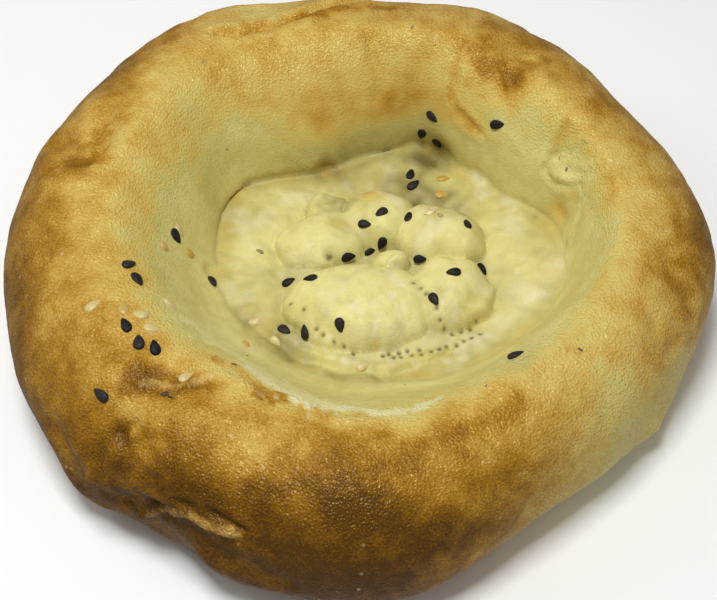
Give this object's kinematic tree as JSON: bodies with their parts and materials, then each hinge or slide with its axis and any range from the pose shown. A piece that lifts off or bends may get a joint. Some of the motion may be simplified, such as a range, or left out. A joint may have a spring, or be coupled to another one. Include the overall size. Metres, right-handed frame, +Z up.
{
  "type": "uzbek flatbread",
  "caption": "Round wheat flatbread with a puffed golden rim round a sunken pale centre, stamped into petals and sprinkled with black and white sesame",
  "frame": {"origin": "on the surface that the bread lies on, under the middle of its bounding box", "axes": "+Z up through the stamped centre, +X to the right and +Y to the back as the picture looks at it"},
  "size_m": [0.161, 0.1602, 0.0419],
  "materials": {
    "crust": "baked crust with a slight shine",
    "black_sesame": "satin seed coat",
    "white_sesame": "translucent toasted seed"
  },
  "bodies": {
    "root": {"bread": "crust"}
  },
  "joints": []
}
